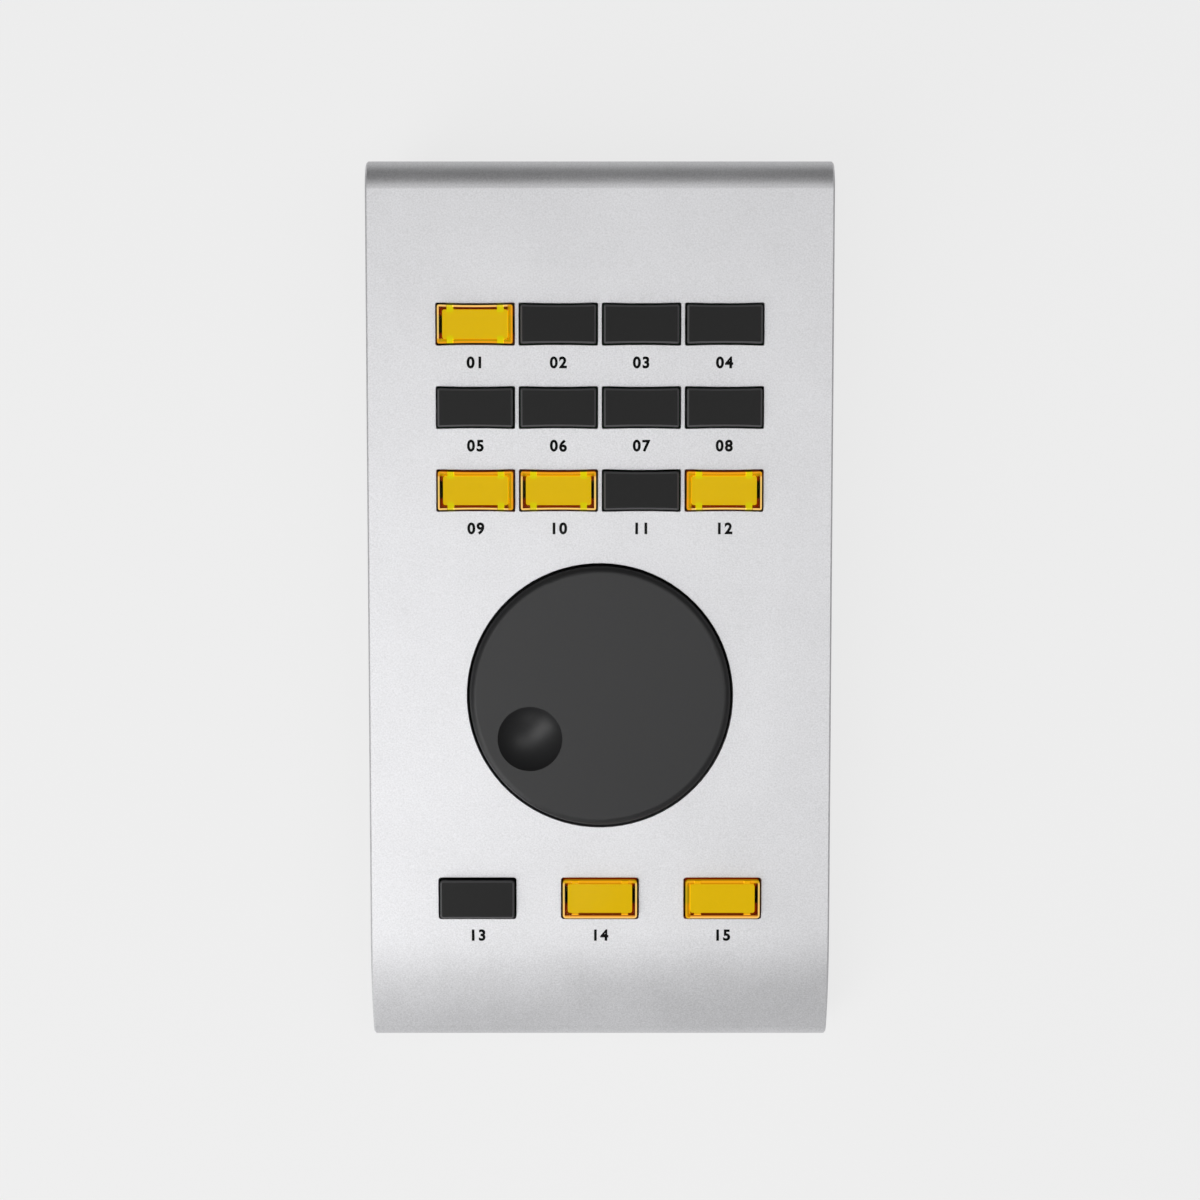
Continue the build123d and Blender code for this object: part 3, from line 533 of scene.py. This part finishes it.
class CONTROLLER_OT_keys(Operator):
    """Finish the fifteen caps and the light guides inside them"""
    bl_idname = "controller.keys"
    bl_label = "Keys"

    def execute(self, context):
        sizes, colours = values(context)
        smoke = self.smoked_cap(colours)
        # Light guide with its lamp off: milky acrylic, dim behind the smoke.
        dark_guide = grained("unlit_light_guide", "#2A2622", "#36302A", grain=0.4, rough=(0.4, 0.5), pit=0.002)
        for number in KEY_NUMBERS:
            lit = number in LIT_KEYS
            shade(f"key_cap_{number}", self.lit_cap(number, sizes, colours) if lit else smoke)
            shade(f"key_plunger_{number}", self.lit_guide(number, sizes, colours) if lit else dark_guide)
        return {"FINISHED"}

    def smoked_cap(self, colours):
        """Smoked polycarbonate, unlit: near black, with a painted highlight, a paler line painted on the moulded
        bevel.
        """
        material = grained("smoked_polycarbonate", *shades(colours.unlit_cap, 1, 1.15), grain=0.4, rough=(0.3, 0.36),
                           pit=0.001, Specular_IOR_Level=0.14)
        bevel = cap_faces(material.node_tree)[-1]
        # The bevel is painted paler, as a painted highlight.
        overlay(material, bevel, colours.painted_bevel_highlight)
        return material

    def local_place(self, tree, number):
        """Nodes that give a point's place in millimetres: along and across its key, and above the panel."""
        place = add_node(tree, "ShaderNodeTexCoord")
        local = add_node(tree, "ShaderNodeMapping", {"Vector": place.outputs["Object"],
                                                     "Location": PANEL @ key_place(number),
                                                     "Rotation": PANEL_TURN.to_euler(), "Scale": (MM, MM, MM)},
                         vector_type="TEXTURE")
        return add_node(tree, "ShaderNodeSeparateXYZ", {0: local.outputs[0]}).outputs

    def painted_bright_sides(self, tree, number, along, across, half_length, sizes):
        """Nodes that give 1 at the end and the side of a cap that are nearest the middle of the keys, where its light
        is painted brighter.
        """
        place = key_place(number)
        side_band = sizes.lower_band if number in LOWER_KEYS else sizes.band
        toward_x = 0.0 if abs(place.x) < MIDDLE_COLUMN else -1.0 if place.x > 0 else 1.0
        toward_y = -1.0 if place.y > BACK_ROW else 1.0
        bright = []
        for value, toward, start in ((along, toward_x, half_length - sizes.band / MM),
                                     (across, toward_y, CAP_HALF_WIDTH - side_band / MM)):
            reach = add_node(tree, "ShaderNodeMath", {0: value, 1: toward}, operation="MULTIPLY")
            bright.append(add_node(tree, "ShaderNodeMapRange", {"Value": reach.outputs[0],
                                                                "From Min": start - BAND_FADE,
                                                                "From Max": start + BAND_FADE}))
        end, side = (mask.outputs["Result"] for mask in bright)
        return add_node(tree, "ShaderNodeMath", {0: end, 1: side}, operation="MAXIMUM").outputs[0]

    def outer_walls(self, tree, along, across, half_length, upward):
        """Nodes that give 1 on the outside of a cap's walls, where painted shade goes."""
        side = beyond(tree, across, *(CAP_HALF_WIDTH - inset for inset in OUTER_SIDE))
        end = beyond(tree, along, *(half_length - inset for inset in OUTER_END))
        edge = add_node(tree, "ShaderNodeMath", {0: side, 1: end}, operation="MAXIMUM")
        return add_node(tree, "ShaderNodeMath", {0: edge.outputs[0], 1: upward}, operation="SUBTRACT",
                        use_clamp=True).outputs[0]

    def lit_cap(self, number, sizes, colours):
        """Clear polycarbonate over a lit guide, with painted light: a painted glow on its bevel and low on its walls,
        brightest on the sides nearest the keys' middle, and painted shade on the outside of its dimmer sides.
        """
        # The real index is near 1.58. A low one keeps the guide's edges from being bent out of sight.
        material = grained(f"amber_polycarbonate_{number}", *shades(colours.amber, 0.97, 1), grain=0.4,
                           rough=(0.03, 0.07), pit=0.0005, Transmission_Weight=1.0, IOR=1.08, Emission_Strength=1.0)
        tree = material.node_tree
        lower = number in LOWER_KEYS
        low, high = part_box(f"key_cap_{number}")
        half_length = (high.x - low.x) / 2 / MM
        along, across, above = self.local_place(tree, number)
        upward, flat, bevel = cap_faces(tree)
        nearest = self.painted_bright_sides(tree, number, along, across, half_length, sizes)
        outer = self.outer_walls(tree, along, across, half_length, upward)
        # Painted shade on the outside of the cap's walls.
        overlay(material, outer, colours.painted_shade_on_cap_wall)
        proud, low_wall = (add_node(tree, "ShaderNodeMapRange", {"Value": above, "From Min": start,
                                                                 "From Max": full}).outputs["Result"]
                           for start, full in (PROUD, LIT_WALL))
        # Painted glow on the walls low down, but not in the gap of an end and not on the outside of the dimmer sides.
        wall = add_node(tree, "ShaderNodeMath", {0: low_wall, 1: beyond(tree, across, *DARK_GAP)},
                        operation="MULTIPLY").outputs[0]
        far = add_node(tree, "ShaderNodeMath", {0: outer, 1: nearest}, operation="SUBTRACT",
                       use_clamp=True).outputs[0]
        wall = add_node(tree, "ShaderNodeMath", {0: wall, 1: far}, operation="SUBTRACT", use_clamp=True).outputs[0]
        # Painted light on the sides nearest the keys' middle.
        near = add_node(tree, "ShaderNodeMath", {0: nearest, 1: proud if lower else upward},
                        operation="MULTIPLY").outputs[0]
        side_tone, rim_tone = ((colours.painted_lower_side_glow, colours.painted_lower_rim_glow) if lower
                               else (colours.painted_side_glow, colours.painted_rim_glow))
        side = add_node(tree, "ShaderNodeMix", {0: bevel, 6: rgba(side_tone), 7: rgba(rim_tone)}, data_type="RGBA")
        # Painted shade over the hooks; in the lower row only on their brighter sides.
        hidden = HOOK_HIDES
        for share in (self.hook_bar(tree, along, sizes), *((nearest, upward) if lower else ())):
            hidden = add_node(tree, "ShaderNodeMath", {0: share, 1: hidden}, operation="MULTIPLY").outputs[0]
        layers = [(wall, rgba(colours.painted_wall_glow)), (bevel, rgba(colours.painted_edge_glow))]
        if lower:
            layers.append((self.front_lip(tree, across, flat, proud, sizes), rgba(colours.painted_lip_glow)))
        layers += [(near, side.outputs[2]), (hidden, rgba("#000000"))]
        give_light(material, rgba("#000000"), layers)
        return material

    def front_lip(self, tree, across, flat, proud, sizes):
        """Nodes that give 1 on the front lip of a lower key's flat face, where a glow is painted."""
        start = sizes.lip_band / MM - CAP_HALF_WIDTH
        lip = add_node(tree, "ShaderNodeMapRange", {"Value": across, "From Min": start + FINE_FADE,
                                                    "From Max": start - FINE_FADE}).outputs["Result"]
        for share in (flat, proud):
            lip = add_node(tree, "ShaderNodeMath", {0: lip, 1: share}, operation="MULTIPLY").outputs[0]
        return lip

    def hook_bar(self, tree, along, sizes):
        """Nodes that give 1 over the width of a snap hook and 0 beside it."""
        aside = add_node(tree, "ShaderNodeMath", {0: along}, operation="ABSOLUTE")
        off = add_node(tree, "ShaderNodeMath", {0: aside.outputs[0], 1: sizes.hook_inset / MM}, operation="SUBTRACT")
        half = sizes.hook_width / MM / 2
        return beyond(tree, off.outputs[0], half + FINE_FADE, half - FINE_FADE)

    def lit_guide(self, number, sizes, colours):
        """Lit acrylic light guide whose glow stands in for its lamp, painted bright at its face, yellowest at its
        hooks, red and dim at its foot.
        """
        material = grained(f"lit_light_guide_{number}", "#3A2405", "#4A300A", grain=0.4, rough=(0.4, 0.5), pit=0.002,
                           Emission_Strength=1.0, Specular_IOR_Level=0.1)
        tree = material.node_tree
        lower = number in LOWER_KEYS
        along, across, above = self.local_place(tree, number)
        height = add_node(tree, "ShaderNodeMapRange", {"Value": above, "From Min": GUIDE_DEPTH[0],
                                                       "From Max": GUIDE_DEPTH[1]})
        ramp = add_node(tree, "ShaderNodeValToRGB", {"Fac": height.outputs["Result"]})
        stops = ramp.color_ramp.elements
        stops[0].color = rgba(colours.foot_glow)
        stops[1].color = rgba(colours.glow)
        stops.new(DEEP_SHARE).color = rgba(colours.deep_glow)
        stops.new(SHOULDER_SHARE).color = rgba(colours.lower_shoulder_glow if lower else colours.shoulder_glow)
        start = LOWER_HOOK_REACH if lower else HOOK_REACH
        out = beyond(tree, across, start - FINE_FADE, start + FINE_FADE)
        hook = add_node(tree, "ShaderNodeMath", {0: self.hook_bar(tree, along, sizes), 1: out}, operation="MULTIPLY")
        give_light(material, ramp.outputs["Color"], [(hook.outputs[0], rgba(colours.painted_hook_glow))])
        return material


class CONTROLLER_OT_wheel(Operator):
    """Finish the wheel, its encoder and the dish under it"""
    bl_idname = "controller.wheel"
    bl_label = "Wheel"

    def execute(self, context):
        colours = context.scene.controller_colours
        # Turned wheel with a satin black coat: a soft broad sheen and a very fine even grain.
        satin = grained("satin_black", *shades(colours.wheel, 0.9, 1.08), grain=0.3, rough=(0.4, 0.46), pit=0.003,
                        Specular_IOR_Level=0.38)
        # Die-cast zinc: grey, a little mottled.
        cast = grained("die_cast_zinc", "#8E9092", "#A6A8AA", grain=0.6, rough=(0.35, 0.5), pit=0.006, Metallic=1.0)
        # Nickel plate on turned steel: bright, with a faint haze.
        nickel = grained("nickel_plate", "#C2C0BA", "#D2D0CA", grain=0.5, rough=(0.14, 0.26), pit=0.001, Metallic=1.0)
        # Pressed dust dish of black polypropylene: waxy and dull.
        dish = grained("black_polypropylene", "#101011", "#19191A", grain=0.5, rough=(0.5, 0.65), pit=0.01)
        for node, material in (("jog_wheel", satin), ("encoder_body", cast), ("encoder_shaft", nickel),
                               ("encoder_nut", nickel), ("encoder_washer", nickel), ("wheel_dish", dish)):
            shade(node, material)
        return {"FINISHED"}


class CONTROLLER_OT_boards(Operator):
    """Finish the boards, the switches and what holds them"""
    bl_idname = "controller.boards"
    bl_label = "Boards"

    def execute(self, context):
        # Zinc-plated steel: cool grey metal with a mottled, slightly dull reflection.
        zinc = grained("zinc_plate", "#A9ABAD", "#C4C6C8", grain=0.4, rough=(0.28, 0.42), pit=0.003, Metallic=1.0)
        # Turned brass: warm yellow, a little uneven.
        brass = grained("turned_brass", "#B79A55", "#CDB06A", grain=0.3, rough=(0.22, 0.34), pit=0.002, Metallic=1.0)
        # Glass-fibre board under green solder mask: a deep green gloss, slightly mottled.
        board = grained("solder_mask", "#0B3B20", "#12502C", grain=0.6, rough=(0.3, 0.4), pit=0.004)
        # Moulded epoxy: dull charcoal.
        resin = grained("epoxy_resin", "#1A1A1B", "#242425", grain=0.25, rough=(0.5, 0.62), pit=0.004)
        # Glass-filled switch resin: black and a little shiny.
        switch = grained("switch_resin", "#121213", "#1B1B1C", grain=0.35, rough=(0.34, 0.48), pit=0.004)
        # Sprung stainless steel: bright, faintly straw.
        sprung = grained("sprung_steel", "#B9B6AE", "#CBC8C0", grain=0.3, rough=(0.16, 0.28), pit=0.001, Metallic=1.0)
        # Cast lamp epoxy: milky and glossy.
        lamp = grained("lamp_epoxy", "#D9CFA8", "#E8DFBE", grain=0.5, rough=(0.12, 0.2), pit=0.001)
        for material, nodes in ((zinc, ("board_screws", "io_screws")), (brass, ("board_spacers", "io_spacers")),
                                (board, ("main_board", "io_board")), (resin, ("controller_chip",)),
                                (switch, ("switch_housings",)), (lamp, ("key_leds",))):
            for node in nodes:
                shade(node, material)
        self.domes(context.scene.controller_sizes, sprung)
        return {"FINISHED"}

    def domes(self, sizes, sprung):
        """One thin domed spring under each key."""
        boxes = solid_boxes("click_domes", PANEL.inverted())
        for number in KEY_NUMBERS:
            key = key_place(number)
            low, high = min(boxes, key=lambda box: ((box[0] + box[1]) / 2 - key).xy.length)
            mesh = turned_mesh(self.dome_profile(low, high, sizes.dome_thickness), DOME_SEGMENTS)
            base = Vector(((low.x + high.x) / 2, (low.y + high.y) / 2, low.z))
            mesh.transform(PANEL @ Matrix.Translation(base))
            dome = new_piece(f"click_dome_{number}", mesh, "housing", sprung)
            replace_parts(dome, "click_domes")
            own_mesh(dome)

    def dome_profile(self, low, high, thickness):
        """Radius and height pairs down the outside of a dome that fills a box, and back up its inside."""
        radius, height = (high.x - low.x) / 2, high.z - low.z
        ball = (radius ** 2 + height ** 2) / (2 * height)
        sunk = ball - height
        profile = []
        for shell in (ball, ball - thickness):
            angles = [acos(sunk / shell) * step / DOME_STEPS for step in range(DOME_STEPS + 1)]
            arc = [(shell * sin(angle), shell * cos(angle) - sunk) for angle in angles]
            profile += arc if shell == ball else arc[::-1]
        return profile


class CONTROLLER_OT_sockets(Operator):
    """Finish the sockets and the ribbon, and grow the inlet's contacts"""
    bl_idname = "controller.sockets"
    bl_label = "Sockets"

    def execute(self, context):
        sizes, colours = values(context)
        # Tin-plated steel can: bright, slightly cloudy.
        can = grained("tin_plate", "#B4B6B8", "#CCCED0", grain=0.5, rough=(0.2, 0.34), pit=0.002, Metallic=1.0)
        # Moulded connector resin: off-white and matt.
        pale = grained("connector_resin", "#CFCBC0", "#DEDAD0", grain=0.4, rough=(0.4, 0.5), pit=0.003)
        # Glass-filled nylon of the jack's body: black, matt.
        nylon = grained("black_nylon", "#111112", "#1A1A1B", grain=0.4, rough=(0.45, 0.6), pit=0.008)
        # Chrome plate: bright and clean.
        chrome = grained("chrome_plate", "#C9CBCD", "#DADCDE", grain=0.6, rough=(0.06, 0.14), pit=0.0005,
                         Metallic=1.0)
        ribbon = self.ribbon(sizes, colours)
        for node, material in (("usb_socket", can), ("usb_insert", pale), ("jack_socket", nylon),
                               ("jack_nut", chrome), ("ribbon_headers", pale), ("ribbon_cable", ribbon)):
            shade(node, material)
        self.contacts(sizes)
        return {"FINISHED"}

    def ribbon(self, sizes, colours):
        """Grey vinyl ribbon: a soft ridge over each wire, and one red edge."""
        ridge_height = 0.1 * MM
        red_start, red_full = 0.9 * MM, 0.8 * MM
        material = grained("ribbon_vinyl", "#8A8D90", "#9C9FA2", grain=0.5, rough=(0.45, 0.55), pit=0.004)
        tree = material.node_tree
        place = add_node(tree, "ShaderNodeTexCoord")
        across = add_node(tree, "ShaderNodeSeparateXYZ", {0: place.outputs["Object"]}).outputs["X"]
        turns = add_node(tree, "ShaderNodeMath", {0: across, 1: 2 * pi / sizes.conductor_pitch}, operation="MULTIPLY")
        wave = add_node(tree, "ShaderNodeMath", {0: turns.outputs[0]}, operation="COSINE")
        ridge = add_node(tree, "ShaderNodeBump", {"Height": wave.outputs[0], "Strength": 1.0,
                                                  "Distance": ridge_height})
        tree.links.new(ridge.outputs["Normal"], tree.nodes["Principled BSDF"].inputs["Normal"])
        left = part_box("ribbon_cable")[0].x
        edge = add_node(tree, "ShaderNodeMapRange", {"Value": across, "From Min": left + red_start,
                                                     "From Max": left + red_full})
        overlay(material, edge.outputs["Result"], colours.red_wire)
        return material

    def contacts(self, sizes):
        """Four gold contacts, two above and two below the inlet's tongue."""
        # Gold flash over nickel: rich yellow, bright.
        gold = grained("gold_flash", "#C9A24A", "#DDB860", grain=0.4, rough=(0.16, 0.26), pit=0.001, Metallic=1.0)
        tongue_half_height = 1.6 * MM
        setback = 0.6 * MM
        low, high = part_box("usb_insert")
        middle = (low + high) / 2
        start = high.y - setback - sizes.contact_length / 2
        places = [Vector((middle.x + side * sizes.contact_pitch / 2, start, middle.z + level * tongue_half_height))
                  for side in (-1, 1) for level in (-1, 1)]
        tree, given = grower_tree("inlet_contacts", (("Size", "Vector"),))
        strip = add_node(tree, "GeometryNodeMeshCube", {"Size": given["Size"]})
        put_on_places(tree, given, strip.outputs["Mesh"])
        size = (sizes.contact_width, sizes.contact_length, sizes.contact_thickness)
        mesh = grown_mesh(tree, places, {"Size": size, "Finish": gold})
        new_piece("inlet_contacts", mesh, "housing")


class CONTROLLER_OT_legends(Operator):
    """Print a plain number in front of each key"""
    bl_idname = "controller.legends"
    bl_label = "Legends"

    def execute(self, context):
        sizes, colours = values(context)
        # Screen-printed ink: dense dull black, a little uneven.
        ink = grained("printed_ink", *shades(colours.ink, 1, 1.6), grain=0.2, rough=(0.55, 0.65), pit=0.001,
                      Specular_IOR_Level=0.06)
        sheet = bmesh.new()
        for number in KEY_NUMBERS:
            middle = key_place(number)
            self.print_number(sheet, number, middle.x, middle.y - sizes.legend_drop, sizes)
        mesh = bpy.data.meshes.new("legends")
        sheet.to_mesh(mesh)
        sheet.free()
        new_piece("legends", mesh, "housing", ink)
        return {"FINISHED"}

    def print_number(self, sheet, number, x, y, sizes):
        """Adds one number's flat ink to the sheet, laid on the panel's face."""
        words = bpy.data.curves.new("number", "FONT")
        words.body = number.replace("6", "9")
        words.align_x = "CENTER"
        words.align_y = "CENTER"
        words.offset = LEGEND_WEIGHT
        words.space_character = LEGEND_SPACING
        made = bpy.data.objects.new("number", words)
        bpy.context.scene.collection.objects.link(made)
        bpy.context.view_layer.update()
        mesh = bpy.data.meshes.new_from_object(made.evaluated_get(bpy.context.evaluated_depsgraph_get()))
        bpy.data.objects.remove(made)
        if "6" in number:
            self.turn_over([point for point in mesh.vertices if point.co.x > 0])
        scale = sizes.legend_height / DIGIT_HEIGHT
        for point in mesh.vertices:
            there = Vector((x, y, sizes.ink_thickness)) + point.co * scale
            forward = max(0.0, -there.y - sizes.nose_start)
            there.z -= forward ** 2 / (2 * sizes.nose_radius)
            point.co = PANEL @ there
        sheet.from_mesh(mesh)
        bpy.data.meshes.remove(mesh)

    def turn_over(self, points):
        """Turns the right-hand digit half round, which makes a nine a six: the bold outline of a six has a flaw."""
        ends = [pick(point.co[i] for point in points) for i in (0, 1) for pick in (min, max)]
        middle = Vector((ends[0] + ends[1], ends[2] + ends[3], 0)) / 2
        for point in points:
            point.co = 2 * middle - point.co


class CONTROLLER_OT_stage(Operator):
    """Set up the floor, the light and the camera"""
    bl_idname = "controller.stage"
    bl_label = "Stage"

    def execute(self, context):
        scene = context.scene
        stage = scene.controller_stage
        scene.view_settings.view_transform = "Standard"
        camera = bpy.data.objects.new("camera", bpy.data.cameras.new("camera"))
        camera.data.lens = stage.lens
        camera.data.sensor_width = SENSOR_WIDTH
        camera.location = (stage.camera_right, stage.camera_back, stage.camera_height)
        scene.collection.objects.link(camera)
        scene.camera = camera
        self.floor(scene.controller_colours)
        for name, bearing, rise, setting in SOFT_BOXES:
            self.soft_box(name, radians(bearing), radians(rise), getattr(stage, setting), stage)
        self.sky(stage)
        return {"FINISHED"}

    def floor(self, colours):
        """A pale floor, shown pale to the camera and in reflections, that keeps a soft shadow."""
        sheet = bmesh.new()
        bmesh.ops.create_grid(sheet, x_segments=1, y_segments=1, size=FLOOR_REACH)
        mesh = bpy.data.meshes.new("floor")
        sheet.to_mesh(mesh)
        sheet.free()
        floor = bpy.data.objects.new("floor", mesh)
        bpy.context.scene.collection.objects.link(floor)
        material = bpy.data.materials.new("pale_floor")
        material.use_nodes = True
        tree = material.node_tree
        tree.nodes.clear()
        path = add_node(tree, "ShaderNodeLightPath").outputs
        seen = path["Is Camera Ray"]
        for ray in ("Is Glossy Ray", "Is Transmission Ray"):
            seen = add_node(tree, "ShaderNodeMath", {0: seen, 1: path[ray]}, operation="MAXIMUM").outputs[0]
        share = add_node(tree, "ShaderNodeMath", {0: seen, 1: FLOOR_SHARE}, operation="MULTIPLY")
        plain = add_node(tree, "ShaderNodeBsdfDiffuse", {"Color": rgba(colours.floor)})
        shown = add_node(tree, "ShaderNodeEmission", {"Color": rgba(colours.floor), "Strength": FLOOR_STRENGTH})
        mixed = add_node(tree, "ShaderNodeMixShader", {0: share.outputs[0], 1: plain.outputs[0], 2: shown.outputs[0]})
        add_node(tree, "ShaderNodeOutputMaterial", {"Surface": mixed.outputs[0]})
        mesh.materials.append(material)

    def soft_box(self, name, bearing, rise, watts, stage):
        """One soft box, aimed at the panel, by its bearing from the right and its rise."""
        way = Vector((cos(rise) * cos(bearing), cos(rise) * sin(bearing), sin(rise)))
        lamp = bpy.data.objects.new(name, bpy.data.lights.new(name, "AREA"))
        lamp.data.size = stage.lamp_size
        lamp.data.energy = watts
        lamp.location = PANEL.translation + way * stage.lamp_distance
        lamp.rotation_euler = way.to_track_quat("Z", "Y").to_euler()
        bpy.context.scene.collection.objects.link(lamp)

    def sky(self, stage):
        """A plain grey sky, brighter in front."""
        world = bpy.data.worlds.new("sky")
        bpy.context.scene.world = world
        world.use_nodes = True
        tree = world.node_tree
        tree.nodes.clear()
        place = add_node(tree, "ShaderNodeTexCoord")
        toward = add_node(tree, "ShaderNodeSeparateXYZ", {0: place.outputs["Generated"]})
        level = add_node(tree, "ShaderNodeMapRange", {"Value": toward.outputs["Y"], "From Min": 1, "From Max": -1,
                                                      "To Min": stage.sky_back, "To Max": stage.sky_front})
        glow = add_node(tree, "ShaderNodeBackground", {"Color": (1, 1, 1, 1), "Strength": level.outputs["Result"]})
        add_node(tree, "ShaderNodeOutputWorld", {"Surface": glow.outputs[0]})


class CONTROLLER_PT_sidebar(Panel):
    """Lists the controller's pieces and the values that shape them"""
    bl_idname = "CONTROLLER_PT_sidebar"
    bl_label = "Controller"
    bl_space_type = "VIEW_3D"
    bl_region_type = "UI"
    bl_category = "Controller"

    def draw(self, context):
        for name in GROUPS:
            group = getattr(context.scene, name)
            for setting in group.__annotations__:
                self.layout.prop(group, setting)
        for operator in OPERATORS:
            self.layout.operator(operator.bl_idname)


GROUPS = {"controller_sizes": ControllerSizes, "controller_colours": ControllerColours,
          "controller_stage": ControllerStage}
OPERATORS = (CONTROLLER_OT_case, CONTROLLER_OT_case_screws, CONTROLLER_OT_keys, CONTROLLER_OT_wheel,
             CONTROLLER_OT_boards, CONTROLLER_OT_sockets, CONTROLLER_OT_legends, CONTROLLER_OT_stage)


def register():
    for made in (*GROUPS.values(), *OPERATORS, CONTROLLER_PT_sidebar):
        bpy.utils.register_class(made)
    for name, group in GROUPS.items():
        setattr(bpy.types.Scene, name, PointerProperty(type=group))


def unregister():
    for name in GROUPS:
        delattr(bpy.types.Scene, name)
    for made in reversed((*GROUPS.values(), *OPERATORS, CONTROLLER_PT_sidebar)):
        bpy.utils.unregister_class(made)


def main():
    register()
    bpy.ops.controller.case()
    bpy.ops.controller.case_screws()
    bpy.ops.controller.keys()
    bpy.ops.controller.wheel()
    bpy.ops.controller.boards()
    bpy.ops.controller.sockets()
    bpy.ops.controller.legends()
    bpy.ops.controller.stage()


if __name__ == "__main__":
    main()
